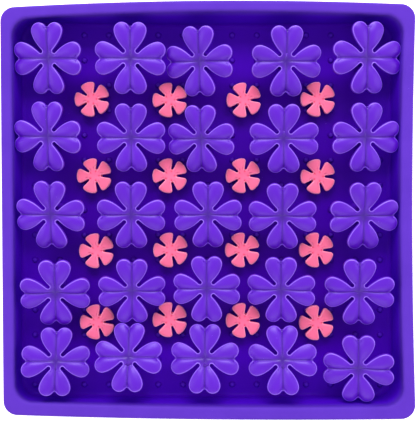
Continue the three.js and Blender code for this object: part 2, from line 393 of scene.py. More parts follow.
@dataclass
class Tray:
    """The square tray: floor, wall, rolled lip and nubs."""

    grid: Grid
    finish: bpy.types.Material
    rim_height: float = RIM_HEIGHT
    wall: float = 3.2 * MM
    lip: float = 4.5 * MM
    outer_radius: float = 9.0 * MM
    inner_radius: float = 11.5 * MM
    foot_rounding: float = 0.9 * MM
    lip_rounding: float = 1.7 * MM
    lip_fillet: float = 1.2 * MM
    rim_inner_rounding: float = 2.0 * MM
    crease: float = 3.0 * MM
    corner_steps: int = 10
    side_steps: int = 30
    round_steps: int = 5
    outside_steps: int = 5
    inside_steps: int = 6
    rim_shares: tuple[float, ...] = (0.4, 0.6)
    nub_facets: int = 14
    # The nubs' painted highlight on their tops, how fast it falls off downwards, and their painted
    # shade round the foot.
    nub_painted_highlight: float = 0.2
    nub_highlight_power: int = 4
    nub_painted_shade: float = 0.2
    rim_corners: tuple[Corner, ...] = (
        Corner(131.6 * MM, -132.5 * MM),
        Corner(131.6 * MM, 130.4 * MM),
        Corner(-131.2 * MM, 128.5 * MM),
        Corner(-129.2 * MM, -130 * MM),
    )
    floor_corners: tuple[Corner, ...] = (
        Corner(122 * MM, -123.3 * MM),
        Corner(122 * MM, 123.8 * MM),
        Corner(-123 * MM, 123.8 * MM),
        Corner(-123 * MM, -123.3 * MM),
    )
    sides: tuple[Side, ...] = (
        Side(rim_bulge=-1.9 * MM, foot_bulge=-0.6 * MM, rim_width=7.8 * MM),
        Side(rim_bulge=3.0 * MM, foot_bulge=-1.0 * MM, rim_width=7.2 * MM),
        Side(rim_bulge=0.0, foot_bulge=0.0, rim_width=7.2 * MM),
        Side(rim_bulge=1.4 * MM, foot_bulge=0.4 * MM, rim_width=8.3 * MM),
    )
    nub_profile: tuple[tuple[float, float], ...] = (
        (2.3 * MM, -0.06 * MM),
        (1.9 * MM, 0.08 * MM),
        (1.62 * MM, 0.4 * MM),
        (1.46 * MM, 0.85 * MM),
        (1.14 * MM, 1.16 * MM),
        (0.62 * MM, 1.29 * MM),
        (0.2 * MM, 1.32 * MM),
    )

    def _corner_arc(self, corner: Corner, k: int, insets: list[float], radius: float) -> Loop:
        """Rounds one corner, moved in by the insets of the two sides that meet there.

        Args:
            corner: The corner.
            k: Its place in the order, anticlockwise from the south-east.
            insets: How far each side moves in.
            radius: The corner's radius.

        Returns:
            The arc's points at height 0.
        """
        east = math.copysign(1, corner.east)
        north = math.copysign(1, corner.north)
        inset_east = insets[Compass.EAST if east > 0 else Compass.WEST]
        inset_north = insets[Compass.NORTH if north > 0 else Compass.SOUTH]
        centre = Vector((
            corner.east - east * (inset_east + radius),
            corner.north - north * (inset_north + radius),
            0.0,
        ))
        return arc_points(centre, radius, 90 * (k - 1), 90 * k, self.corner_steps)

    def _bulged_loop(
        self, corners: tuple[Corner, ...], bulges: list[float], insets: list[float], radius: float
    ) -> Loop:
        """Makes a rounded square loop whose sides bulge as parabolas.

        Args:
            corners: The four corners, anticlockwise from the south-east.
            bulges: How far each side bulges outwards at its middle.
            insets: How far each side moves in.
            radius: The corners' radius.

        Returns:
            The loop at height 0.
        """
        arcs = [self._corner_arc(c, k, insets, radius) for k, c in enumerate(corners)]
        loop: Loop = []
        for k, arc in enumerate(arcs):
            start, end = arc[-1], arcs[(k + 1) % len(arcs)][0]
            along = end - start
            outward = Vector((along.y, -along.x, 0.0)).normalized()
            loop += arc
            for j in range(1, self.side_steps):
                t = j / self.side_steps
                loop.append(start.lerp(end, t) + outward * bulges[k] * bulge_share(t))
        return loop

    def _rim_loop(self, share: float, outset: float) -> Loop:
        """Makes a loop of the rim.

        Args:
            share: 0 on the rim's outer edge and 1 on its inner edge.
            outset: How far the loop stands outside that edge.

        Returns:
            The loop at height 0.
        """
        radius = self.outer_radius * (1 - share) + self.inner_radius * share + outset / 2
        insets = [side.rim_width * share - outset for side in self.sides]
        bulges = [side.rim_bulge for side in self.sides]
        return self._bulged_loop(self.rim_corners, bulges, insets, radius)

    def _foot_loop(self, outset: float) -> Loop:
        """Makes a loop of the wall's foot.

        Args:
            outset: How far the loop stands outside the floor's edge.

        Returns:
            The loop at height 0.
        """
        bulges = [side.foot_bulge for side in self.sides]
        insets = [-outset for _ in self.sides]
        return self._bulged_loop(self.floor_corners, bulges, insets, self.inner_radius + outset)

    def _wall_loop(self, blend: float, outset: float, height: float) -> Loop:
        """Makes a loop of the wall, whose blend is 0 at its foot and 1 at the rim's inner edge."""
        pairs = zip(self._foot_loop(outset), self._rim_loop(1.0, outset))
        return [self._at(foot.lerp(rim, blend), height) for foot, rim in pairs]

    @staticmethod
    def _at(point: Vector, height: float) -> Vector:
        """Sets a point's height."""
        return Vector((point.x, point.y, height))

    def _rim_at(self, share: float, outset: float, height: float) -> Loop:
        """Makes a loop of the rim at a height."""
        return [self._at(point, height) for point in self._rim_loop(share, outset)]

    def _outside(self) -> list[Loop]:
        """Lists the loops from under the foot up to the lip's underside.

        Returns:
            The loops, upwards.
        """
        foot, fillet, wall = self.foot_rounding, self.lip_fillet, self.wall
        underside = self.rim_height - self.lip
        climb = underside - fillet - foot
        section = quarter_round((wall - foot, 0.0), (wall, foot), True, self.round_steps)
        for k in range(1, self.outside_steps):
            section.append((wall, foot + climb * k / self.outside_steps))
        start, end = (wall, underside - fillet), (wall + fillet, underside)
        section += quarter_round(start, end, False, self.round_steps)
        return [self._wall_loop(height / underside, outset, height) for outset, height in section]

    def _lip(self) -> list[Loop]:
        """Lists the loops round the lip, from its underside over the rim to its inner edge.

        Returns:
            The loops, in that order.
        """
        top, steps = self.rim_height, self.round_steps
        underside = top - self.lip
        low, high, inner = self.foot_rounding, self.lip_rounding, self.rim_inner_rounding
        outer = quarter_round((-low, underside), (0.0, underside + low), True, steps)
        outer += quarter_round((0.0, top - high), (-high, top), False, steps)
        loops = [self._rim_at(0.0, outset, height) for outset, height in outer]
        loops += [self._rim_at(share, 0.0, top) for share in self.rim_shares]
        section = quarter_round((inner, top), (0.0, top - inner), True, steps)
        return loops + [self._rim_at(1.0, outset, height) for outset, height in section]

    def _inside(self) -> list[Loop]:
        """Lists the loops down the inner wall to the floor.

        Returns:
            The loops, downwards.
        """
        top = self.rim_height - self.rim_inner_rounding
        floor = self.grid.floor_height
        bottom = floor + self.crease
        loops = []
        for k in range(1, self.inside_steps):
            height = top + (bottom - top) * k / self.inside_steps
            loops.append(self._wall_loop((height - bottom) / (top - bottom), 0.0, height))
        section = quarter_round((0.0, bottom), (-self.crease, floor), False, self.round_steps)
        return loops + [self._wall_loop(0.0, outset, height) for outset, height in section]

    def _add_nub(self, draft: MeshDraft, place: Vector) -> None:
        """Adds one nub, whose skirt runs just under the floor, with a painted highlight on its top
        and painted shade round its foot.

        Args:
            draft: The mesh.
            place: Where the nub stands.
        """
        highest = self.nub_profile[-1][1]
        loops, tones = [], []
        for radius, height in self.nub_profile:
            middle = place + UP * height
            loops.append([middle + point for point in circle(radius, self.nub_facets)])
            climb = max(0.0, height / highest)
            # Painted highlight grows towards the nub's top; painted shade grows towards its foot.
            highlight = self.nub_painted_highlight * climb**self.nub_highlight_power
            tones.append((highlight, self.nub_painted_shade * (1 - climb)))
        draft.add_stack(loops, tones)

    def build(self) -> bpy.types.Object:
        """Builds the tray.

        Returns:
            The tray's object, riding on the root body.
        """
        draft = MeshDraft()
        draft.add_stack(self._outside() + self._lip() + self._inside())
        for place in self.grid.nub_places():
            self._add_nub(draft, place)
        return draft.to_piece("tray", self.finish)


# Petal heads


@dataclass(frozen=True)
class HeadRelief:
    """The relief over a head's top: its edges' roundings and how high it crowns from its edge."""

    thickness: float
    edge_rounding: float
    under_rounding: float
    crown: float
    crown_width: float


@dataclass(frozen=True)
class SheetPoint:
    """A point of the top or the underside of a half petal."""

    plan: Vector
    height: float
    painted_highlight: float = 0.0
    painted_shade: float = 0.0


@dataclass
class PetalHead:
    """A head of like petals, made from one half petal whose axis runs north.

    The insets are in millimetres from the outline, and the shares across run from the petal's
    axis to the innermost inset.
    """

    petals: int
    relief: HeadRelief
    insets: tuple[float, ...] = (0.0, 0.04, 0.14, 0.28, 0.42, 0.6, 0.85, 1.2, 1.6)
    across: tuple[float, ...] = (0.0, 0.05, 0.1, 0.17, 0.26, 0.38, 0.53, 0.7, 0.86)
    # Where the band of painted edge highlight lies inside the outline, and how wide it is.
    highlight_inset: float = 0.4 * MM
    highlight_width: float = 0.27 * MM
    nearest: float = 0.3 * MM
    axis_crowding: float = 1.4

    def __post_init__(self) -> None:
        """Lays out the half petal, its top and its underside."""
        self.outline = self.half_outline()
        slit = math.pi / 2 - math.pi / self.petals
        self.slit = Vector((math.cos(slit), math.sin(slit), 0.0))
        self.normals = self._inward_normals()
        rows = self._rows()
        self.top = [[self._top_point(plan, distance) for plan, distance in row] for row in rows]
        self.under = [
            [SheetPoint(plan, edge_drop(far, self.relief.under_rounding)) for plan, far in row]
            for row in rows
        ]

    def half_outline(self) -> list[Vector]:
        """Draws half a petal's edge in plan, from the slit's end to the petal's axis."""
        raise NotImplementedError

    def _inward_normals(self) -> list[Vector]:
        """Finds the direction into the petal at each point of the outline.

        Returns:
            The directions, each of length 1.
        """
        second, last = self.outline[1], self.outline[-2]
        before = 2 * second.dot(self.slit) * self.slit - second
        after = Vector((-last.x, last.y, 0.0))
        chain = [before, *self.outline, after]
        normals = []
        for k in range(1, len(chain) - 1):
            along = (chain[k + 1] - chain[k]).normalized() + (chain[k] - chain[k - 1]).normalized()
            normals.append(Vector((-along.y, along.x, 0.0)).normalized())
        return normals

    def _inset(self, distance: float) -> list[Vector]:
        """Moves the outline inwards by a distance."""
        return [p + n * distance for p, n in zip(self.outline, self.normals)]

    def _smooth_distance(self, point: Vector) -> float:
        """Finds a rounded distance from the outline, which forms no ridge over the petal.

        Args:
            point: The point in plan.

        Returns:
            The true distance beside a long straight edge, and less in a narrow place.
        """
        # A long straight edge at a distance d pulls with 4 / (3 d^4) in all.
        pull = 0.0
        for start, end in zip(self.outline, self.outline[1:]):
            middle = (start + end) / 2
            over_axis = Vector((-middle.x, middle.y, 0.0))
            over_slit = 2 * middle.dot(self.slit) * self.slit - middle
            for source in (middle, over_axis, over_slit):
                away = max((point - source).length, self.nearest)
                pull += (end - start).length / away**5
        return (4 / (3 * pull)) ** 0.25

    def _edge_distance(self, point: Vector) -> float:
        """Finds how far a point is from the outline.

        Args:
            point: The point in plan.

        Returns:
            The shortest distance.
        """
        best = math.inf
        for start, end in zip(self.outline, self.outline[1:]):
            along = end - start
            t = max(0.0, min(1.0, (point - start).dot(along) / along.length_squared))
            best = min(best, (point - start - along * t).length)
        return best

    def _rows(self) -> list[list[tuple[Vector, float]]]:
        """Lays out the half petal as rows from its axis to its edge.

        Returns:
            For each point of the outline, points in plan with their distance from the edge.
        """
        deepest = self.insets[-1] * MM
        inner = self._inset(deepest)
        count = len(self.outline) - 1
        rings = [self._inset(d * MM) for d in reversed(self.insets[:-1])]
        rows = []
        for k, end in enumerate(inner):
            start = Vector((0.0, inner[-1].y * (1 - (1 - k / count) ** self.axis_crowding), 0.0))
            row = [start.lerp(end, t) for t in self.across] + [end]
            row = [(point, self._edge_distance(point)) for point in row]
            row += [(ring[k], d * MM) for ring, d in zip(rings, reversed(self.insets[:-1]))]
            rows.append(row)
        return rows

    def relief_at(self, point: Vector) -> float:
        """Gives the height that a kind of head adds at a point in plan."""
        return 0.0

    def painted_shade_at(self, point: Vector) -> float:
        """Gives how much shade a kind of head has painted at a point in plan."""
        return 0.0

    def highlight_share_at(self, point: Vector) -> float:
        """Gives how much of the painted edge highlight shows at a point in plan."""
        return 1.0

    def _top_point(self, plan: Vector, distance: float) -> SheetPoint:
        """Makes a point of the top.

        Args:
            plan: Its place in plan.
            distance: How far it is from the edge.

        Returns:
            The point, at its height over the head's underside, with a painted highlight in a band
            near the edge.
        """
        relief = self.relief
        drop = edge_drop(distance, relief.edge_rounding)
        crown = relief.crown * (1 - faded(self._smooth_distance(plan), relief.crown_width))
        inward = min(1.0, distance / relief.edge_rounding)
        height = relief.thickness - drop + crown + self.relief_at(plan) * inward
        # A painted highlight in a band just inside the edge.
        painted_highlight = bell(distance - self.highlight_inset, self.highlight_width) * self.highlight_share_at(plan)
        return SheetPoint(plan, height, painted_highlight, self.painted_shade_at(plan))

    def add_to(self, draft: MeshDraft, place: Matrix, droops: list[float]) -> None:
        """Adds the whole head.

        Args:
            draft: The mesh.
            place: Takes the head from its own plan to where it is.
            droops: How far each petal's tip hangs.
        """
        for petal, droop in enumerate(droops):
            turned = place @ Matrix.Rotation(2 * math.pi * petal / self.petals, 4, "Z")
            for mirror in (1.0, -1.0):
                upper_edge = self._add_sheet(draft, self.top, turned, mirror, droop, mirror > 0)
                lower_edge = self._add_sheet(draft, self.under, turned, mirror, droop, mirror < 0)
                draft.add_strip(lower_edge, upper_edge, mirror > 0)

    def _add_sheet(
        self,
        draft: MeshDraft,
        sheet: list[list[SheetPoint]],
        place: Matrix,
        mirror: float,
        droop: float,
        forward: bool,
    ) -> list[int]:
        """Adds the top or the underside of a half petal.

        Args:
            draft: The mesh.
            sheet: Its points, row by row.
            place: Takes the petal from its own plan to where it is.
            mirror: 1 for the petal's eastern half and -1 for its western one.
            droop: How far the petal's tip hangs.
            forward: Which way round the quads go.

        Returns:
            The numbers of the points along the edge.
        """
        reach = self.outline[-1].length
        numbers = []
        for row in sheet:
            line = []
            for point in row:
                sag = droop * (point.plan.y / reach) ** 2
                placed = Vector((mirror * point.plan.x, point.plan.y, point.height - sag))
                line.append(draft.add_point(place @ placed, point.painted_highlight, point.painted_shade))
            numbers.append(line)
        for near, far in zip(numbers, numbers[1:]):
            draft.add_strip(near, far, forward)
        return [line[-1] for line in numbers]


@dataclass
class CloverHead(PetalHead):
    """A clover's head: four heart leaves, pillowed, with a groove along each."""

    petals: int = 4
    relief: HeadRelief = HeadRelief(
        thickness=2.4 * MM,
        edge_rounding=0.8 * MM,
        under_rounding=0.5 * MM,
        crown=1.5 * MM,
        crown_width=6.0 * MM,
    )
    lobe_centre: Vector = Vector((5.1, 16.75, 0.0)) * MM
    lobe_radius: float = 5.1 * MM
    lobe_angles: tuple[float, float] = (-12, 146)
    lobe_steps: int = 20
    notch: float = 19.2 * MM
    notch_throat: Vector = Vector((0.35, 0.22, 0.0)) * MM
    notch_pull: float = 0.6
    notch_steps: int = 4
    slot_centre: float = 4.4 * MM
    slot_radius: float = 1.1 * MM
    slot_angles: tuple[float, float] = (225, 135)
    slot_steps: int = 5
    flank_leave: Vector = Vector((2.5, 2.6, 0.0)) * MM
    flank_arrive: Vector = Vector((0.9, 4.2, 0.0)) * MM
    flank_steps: int = 14
    valley_depth: float = 1.3 * MM
    valley_width: float = 4.2 * MM
    groove_depth: float = 0.2 * MM
    groove_width: float = 0.6 * MM
    dish_depth: float = 1.3 * MM
    dish_radius: float = 7.5 * MM
    # Within the middle's radius the grooves fade and shade is painted; the notch keeps out the
    # painted edge highlight; the grooves and the middle get painted shade.
    middle_radius: float = 4.2 * MM
    notch_width: float = 1.3 * MM
    groove_painted_shade: float = 0.6
    middle_painted_shade: float = 0.9

    def half_outline(self) -> list[Vector]:
        """Draws half a heart leaf's edge, from the slot's end round the lobe to the notch.

        Returns:
            The edge's points in plan.
        """
        slot = Vector((self.slot_centre, self.slot_centre, 0.0))
        edge = arc_points(slot, self.slot_radius, *self.slot_angles, self.slot_steps)
        lobe = arc_points(self.lobe_centre, self.lobe_radius, *self.lobe_angles, self.lobe_steps)
        leave = edge[-1] + self.flank_leave
        arrive = lobe[0] - self.flank_arrive
        edge += curve_points((edge[-1], leave, arrive, lobe[0]), self.flank_steps)
        edge += lobe[1:]
        tip = Vector((0.0, self.notch, 0.0))
        throat = tip + self.notch_throat
        pulled = lobe[-1].lerp(throat, self.notch_pull)
        edge += curve_points((lobe[-1], pulled, throat, tip), self.notch_steps)
        return edge

    @staticmethod
    def _crossed(east: float, north: float) -> float:
        """Joins two strengths that cross into one, without a ridge between them."""
        return 1 - (1 - east) * (1 - north)

    def _valley_at(self, point: Vector) -> float:
        """Gives the strength of the broad valleys along the grooves."""
        width = self.valley_width
        return self._crossed(faded(point.x, width), faded(point.y, width))

    def _groove_at(self, point: Vector) -> float:
        """Gives the strength of the narrow grooves, which fade towards the middle.

        Args:
            point: The point in plan.

        Returns:
            The strength, from 0 to 1.
        """
        width = self.groove_width
        in_middle = bell(point.length, self.middle_radius)
        return self._crossed(bell(point.x, width), bell(point.y, width)) * (1 - in_middle)

    def relief_at(self, point: Vector) -> float:
        """Gives the height of the grooves and the middle's dish.

        Args:
            point: The point in plan.

        Returns:
            The height, 0 or less.
        """
        drop = self.dish_depth * bell(point.length, self.dish_radius)
        drop += self.valley_depth * self._valley_at(point)
        drop += self.groove_depth * self._groove_at(point)
        return -drop

    def painted_shade_at(self, point: Vector) -> float:
        """Gives how much shade is painted in the grooves and the middle at a point in plan."""
        # Painted shade in the grooves, and more of it in the middle.
        shaded = self.groove_painted_shade * self._groove_at(point)
        return self._crossed(shaded, self.middle_painted_shade * bell(point.length, self.middle_radius))

    def highlight_share_at(self, point: Vector) -> float:
        """Gives how much of the painted edge highlight shows: little in the notch."""
        return 1 - bell(point.x, self.notch_width)


@dataclass
class FlowerHead(PetalHead):
    """A flower's head: five flat petals parted by narrow slits."""

    petals: int = 5
    relief: HeadRelief = HeadRelief(
        thickness=2.35 * MM,
        edge_rounding=0.75 * MM,
        under_rounding=0.4 * MM,
        crown=0.35 * MM,
        crown_width=2.4 * MM,
    )
    slit_end: float = 4.85 * MM
    slit_radius: float = 0.62 * MM
    slit_spread: float = 9.2
    slit_steps: int = 4
    side_steps: int = 8
    shoulder_radius: float = 1.7 * MM
    shoulder_steps: int = 8
    tip: float = 11.6 * MM
    tip_centre: float = 2.6 * MM
    tip_steps: int = 7
    dish_depth: float = 0.45 * MM
    dish_radius: float = 3.2 * MM
    dimple_depth: float = 0.5 * MM
    dimple_width: float = 0.45 * MM
    dimple_centre: float = 3.6 * MM
    dimple_reach: float = 1.1 * MM

    def half_outline(self) -> list[Vector]:
        """Draws half a petal's edge, from the slit's end round the shoulder to the tip.

        Returns:
            The edge's points in plan.
        """
        slit_turn = 180 / self.petals
        turn = math.radians(slit_turn)
        centre = Vector((math.sin(turn), math.cos(turn), 0.0)) * self.slit_end
        ends = (270 - slit_turn, 180 - slit_turn)
        edge = arc_points(centre, self.slit_radius, *ends, self.slit_steps)
        lean = math.radians(slit_turn - self.slit_spread)
        along = Vector((math.sin(lean), math.cos(lean), 0.0))
        inward = Vector((-math.cos(lean), math.sin(lean), 0.0))
        pivot = Vector((0.0, self.tip_centre, 0.0))
        tip_radius = self.tip - self.tip_centre
        start = edge[-1] + inward * self.shoulder_radius - pivot
        reach = start.dot(along)
        room = (tip_radius - self.shoulder_radius) ** 2 - start.length_squared
        side = -reach + math.sqrt(reach**2 + room)
        shoulder = edge[-1] + along * side
        edge += [edge[-1].lerp(shoulder, k / self.side_steps) for k in range(1, self.side_steps)]
        hub = start + along * side
        turned = math.degrees(math.atan2(hub.y, hub.x))
        bend = (-math.degrees(lean), turned)
        edge += arc_points(pivot + hub, self.shoulder_radius, *bend, self.shoulder_steps)
        edge += arc_points(pivot, tip_radius, turned, 90, self.tip_steps)[1:]
        return edge

    def _dimple_at(self, point: Vector) -> float:
        """Gives the strength of the dimple that carries on a slit towards the middle.

        Args:
            point: The point in plan.

        Returns:
            The strength, from 0 to 1.
        """
        off_slit = (point - self.slit * point.dot(self.slit)).length
        along = bell(point.length - self.dimple_centre, self.dimple_reach)
        return bell(off_slit, self.dimple_width) * along

    def relief_at(self, point: Vector) -> float:
        """Gives the height of the middle's dish and of the dimples at a point in plan."""
        dish = self.dish_depth * bell(point.length, self.dish_radius)
        return -dish - self.dimple_depth * self._dimple_at(point)

    def painted_shade_at(self, point: Vector) -> float:
        """Gives how much shade is painted in the dimples at a point in plan."""
        return self._dimple_at(point)


@dataclass(frozen=True)
class Stem:
    """A round stem that flares where it meets the floor and the head."""

    radius: float = 4.0 * MM
    flare: float = 1.2 * MM
    flare_height: float = 1.6 * MM
    sink: float = 0.4 * MM
    grip: float = 0.6 * MM
    facets: int = 20
    steps: int = 14

    def add_to(self, draft: MeshDraft, foot: Vector, head: Vector, facing: Vector) -> None:
        """Adds the stem, which leaves its foot upright and bends over to meet the head.

        Args:
            draft: The mesh.
            foot: The middle of its foot on the floor.
            head: The middle of the head's underside.
            facing: The direction that the head faces.
        """
        start = foot - UP * self.sink
        bend = Vector((foot.x, foot.y, (foot.z + head.z) / 2))
        top = head + facing * self.grip
        length = (top - start).length
        loops = []
        for k in range(self.steps + 1):
            t = k / self.steps
            middle = start.lerp(bend, t).lerp(bend.lerp(top, t), t)
            tangent = ((bend - start).lerp(top - bend, t)).normalized()
            turn = UP.rotation_difference(tangent)
            ends = min(t, 1 - t) * length
            radius = self.radius + self.flare * math.exp(-ends / (self.flare_height / 2))
            loops.append([middle + turn @ point for point in circle(radius, self.facets)])
        draft.add_stack(loops)


@dataclass
class CloverBed:
    """The clovers, on every third place of the grid."""

    grid: Grid
    finish: bpy.types.Material
    rim_height: float = RIM_HEIGHT
    thickness: float = 3.0 * MM
    foot_gap: float = 0.3 * MM
    most_droop: float = 1.1 * MM
    turn_per_column: float = 0.55
    seed: int = 7
    stem: Stem = field(default_factory=Stem)

    def build(self) -> list[bpy.types.Object]:
        """Builds every clover.

        Returns:
            The clovers' objects, each riding on the root body.
        """
        head = CloverHead()
        chance = Random(self.seed)
        steps = range(len(CLOVER_ROWS))
        return [self._clover(head, row, column, chance) for row in steps for column in steps]

    def _clover(self, head: CloverHead, row: int, column: int, chance: Random) -> bpy.types.Object:
        """Builds one clover, whose head faces the way that its stem leans.

        Args:
            head: The head.
            row: Its row, from the north.
            column: Its column, from the west.
            chance: Draws how far each leaf's tip hangs.

        Returns:
            The clover's object.
        """
        lie, count = CLOVER_ROWS[row], len(CLOVER_ROWS)
        foot = self.grid.stem_place(row, column, count)
        lean = Vector((lie.east[column] * MM, lie.north[column] * MM, 0.0))
        height = self.rim_height - self.thickness
        reach = height - foot.z - self.foot_gap
        south = math.tan(math.radians(lie.pitch))
        facing = Vector((lean.x / reach, lean.y / reach - south, 1.0)).normalized()
        middle = Vector((foot.x + lean.x, foot.y + lean.y, height))
        place = Matrix.Translation(middle) @ UP.rotation_difference(facing).to_matrix().to_4x4()
        turn = math.radians(self.turn_per_column * (column - (count - 1) / 2))
        size = lie.size[column]
        plan = Matrix.Rotation(turn, 4, "Z") @ Matrix.Diagonal((size, size, 1.0, 1.0))
        droops = [chance.uniform(0.0, self.most_droop) for _ in range(head.petals)]
        draft = MeshDraft()
        head.add_to(draft, place @ plan, droops)
        self.stem.add_to(draft, foot, middle, facing)
        return draft.to_piece(f"clover_r{row + 1}_c{column + 1}", self.finish)


@dataclass
class FlowerBed:
    """The flowers, each between four clovers."""

    grid: Grid
    finish: bpy.types.Material
    nudge_east: float = 0.4 * MM
    top_height: float = 9.0 * MM
    thickness: float = 2.5 * MM
    most_droop: float = 0.5 * MM
    seed: int = 11
    stem: Stem = field(default_factory=lambda: Stem(steps=8, flare=0.8 * MM))

    def build(self) -> list[bpy.types.Object]:
        """Builds every flower.

        Returns:
            The flowers' objects, each riding on the root body.
        """
        head = FlowerHead()
        chance = Random(self.seed)
        steps = range(len(FLOWER_ROWS))
        return [self._flower(head, row, column, chance) for row in steps for column in steps]

    def _flower(self, head: FlowerHead, row: int, column: int, chance: Random) -> bpy.types.Object:
        """Builds one flower, whose head is level and has a petal in the west.

        Args:
            head: The head.
            row: Its row, from the north.
            column: Its column, from the west.
            chance: Draws how far each petal's tip hangs.

        Returns:
            The flower's object.
        """
        lie = FLOWER_ROWS[row]
        foot = self.grid.stem_place(row, column, len(FLOWER_ROWS))
        foot += Vector((lie.east[column] * MM + self.nudge_east, lie.north[column] * MM, 0.0))
        middle = Vector((foot.x, foot.y, self.top_height - self.thickness))
        quarter = Matrix.Rotation(math.pi / 2, 4, "Z")
        droops = [chance.uniform(0.0, self.most_droop) for _ in range(head.petals)]
        draft = MeshDraft()
        head.add_to(draft, Matrix.Translation(middle) @ quarter, droops)
        self.stem.add_to(draft, foot, middle, UP)
        return draft.to_piece(f"flower_r{row + 1}_c{column + 1}", self.finish)


# Finishes


Socket = bpy.types.NodeSocket
Given = Socket | float | tuple[float, ...] | str


class SocketKind(Enum):
    """What a node group's socket carries."""

    NUMBER = "NodeSocketFloat"
    VECTOR = "NodeSocketVector"
    COLOUR = "NodeSocketColor"


class Easing(Enum):
    """How a range is run through."""

    EVEN = "LINEAR"
    SMOOTH = "SMOOTHSTEP"


class NodeBench:
    """A shader tree to which nodes are added, each fed with values or with other sockets."""

    def __init__(self, tree: bpy.types.NodeTree) -> None:
        """Keeps the tree."""
        self.tree = tree

    def feed(self, target: Socket, given: Given) -> None:
        """Links an input to a socket, or sets it to a value.

        Args:
            target: The input.
            given: The socket or the value.
        """
        if isinstance(given, Socket):
            self.tree.links.new(given, target)
        else:
            target.default_value = given

    def add(
        self, kind: str, inputs: dict[str | int, Given] | None = None, **options: object
    ) -> bpy.types.bpy_prop_collection:
        """Adds a node.

        Args:
            kind: Blender's name for it.
            inputs: What feeds its inputs, by their names or places.
            **options: Its other properties.

        Returns:
            The node's outputs.
        """
        made = self.tree.nodes.new(kind)
        for key, value in options.items():
            setattr(made, key, value)
        for key, given in (inputs or {}).items():
            self.feed(made.inputs[key], given)
        return made.outputs

    def place(self, group: bpy.types.NodeTree, inputs: dict[str, Given] | None = None) -> Socket:
        """Places a node group and gives its one output."""
        return self.add("ShaderNodeGroup", inputs, node_tree=group)[0]

    def mix(self, factor: Given, first: Given, second: Given) -> Socket:
        """Mixes two colours."""
        inputs = {"Factor": factor, "A": first, "B": second}
        return self.add("ShaderNodeMix", inputs, data_type="RGBA")["Result"]

    def work_out(self, operation: str, *given: Given) -> Socket:
        """Works out a number from others."""
        return self.add("ShaderNodeMath", dict(enumerate(given)), operation=operation)[0]

    def run(
        self,
        given: Given,
        start: Given,
        end: Given,
        low: float = 0.0,
        high: float = 1.0,
        easing: Easing = Easing.SMOOTH,
    ) -> Socket:
        """Goes from a low to a high number while the given one goes from its start to its end."""
        inputs = {"Value": given, "From Min": start, "From Max": end, "To Min": low, "To Max": high}
        return self.add("ShaderNodeMapRange", inputs, interpolation_type=easing.value)["Result"]

    def combine(self, operation: str, *given: Given) -> Socket:
        """Works out a vector from others."""
        inputs = dict(enumerate(given))
        return self.add("ShaderNodeVectorMath", inputs, operation=operation)["Vector"]

    def split(self, vector: Given) -> bpy.types.bpy_prop_collection:
        """Splits a vector into its X, Y and Z."""
        return self.add("ShaderNodeSeparateXYZ", {"Vector": vector})

    def where(self) -> Socket:
        """Gives the place on the object."""
        return self.add("ShaderNodeTexCoord")["Object"]

    def noise(self, scale: Given, detail: float) -> Socket:
        """Gives a noise over the object, from 0 to 1."""
        inputs = {"Vector": self.where(), "Scale": scale, "Detail": detail}
        return self.add("ShaderNodeTexNoise", inputs)["Fac"]


class NodeGroup(NodeBench):
    """A shader node group under construction, whose own inputs are given by their names."""

    def __init__(self, name: str) -> None:
        """Starts an empty group.

        Args:
            name: The group's name.
        """
        super().__init__(bpy.data.node_groups.new(name, "ShaderNodeTree"))
        self.enter = self.tree.nodes.new("NodeGroupInput")
        self.leave = self.tree.nodes.new("NodeGroupOutput")

    def inputs(self, kind: SocketKind, **values: float | tuple[float, ...]) -> None:
        """Adds inputs of one kind.

        Args:
            kind: What they carry.
            **values: Their values at rest, where fine_size makes an input named Fine Size.
        """
        for key, value in values.items():
            name = key.replace("_", " ").title()
            made = self.tree.interface.new_socket(name, in_out="INPUT", socket_type=kind.value)
            made.default_value = value

    def output(self, name: str, kind: SocketKind, given: Socket) -> None:
        """Adds an output and feeds it."""
        self.tree.interface.new_socket(name, in_out="OUTPUT", socket_type=kind.value)
        self.feed(self.leave.inputs[name], given)

    def feed(self, target: Socket, given: Given) -> None:
        """Feeds an input, from one of the group's own inputs where a name is given."""
        super().feed(target, self.enter.outputs[given] if isinstance(given, str) else given)


def make_grain_group() -> bpy.types.NodeTree:
    """Makes the matt grain of a moulded face, with broad waviness under it.

    Returns:
        A group that puts out a height.
    """
    group = NodeGroup("moulded_grain")
    group.inputs(SocketKind.NUMBER, fine_size=2600.0, broad_size=90.0, broad_share=0.6)
    fine = group.noise("Fine Size", detail=3.0)
    broad = group.noise("Broad Size", detail=2.0)
    height = group.work_out("MULTIPLY_ADD", broad, "Broad Share", fine)
    group.output("Height", SocketKind.NUMBER, height)
    return group.tree


def make_drift_group() -> bpy.types.NodeTree:
    """Makes the slow drift of colour in a moulding.

    Returns:
        A group that puts out a colour.
    """
    group = NodeGroup("tone_drift")
    group.inputs(SocketKind.COLOUR, base=GREY, deep=GREY)
    group.inputs(SocketKind.NUMBER, drift_size=40.0, all_base=0.35, all_deep=0.7)
    drift = group.noise("Drift Size", detail=4.0)
    share = group.run(drift, "All Base", "All Deep", easing=Easing.EVEN)
    group.output("Colour", SocketKind.COLOUR, group.mix(share, "Base", "Deep"))
    return group.tree


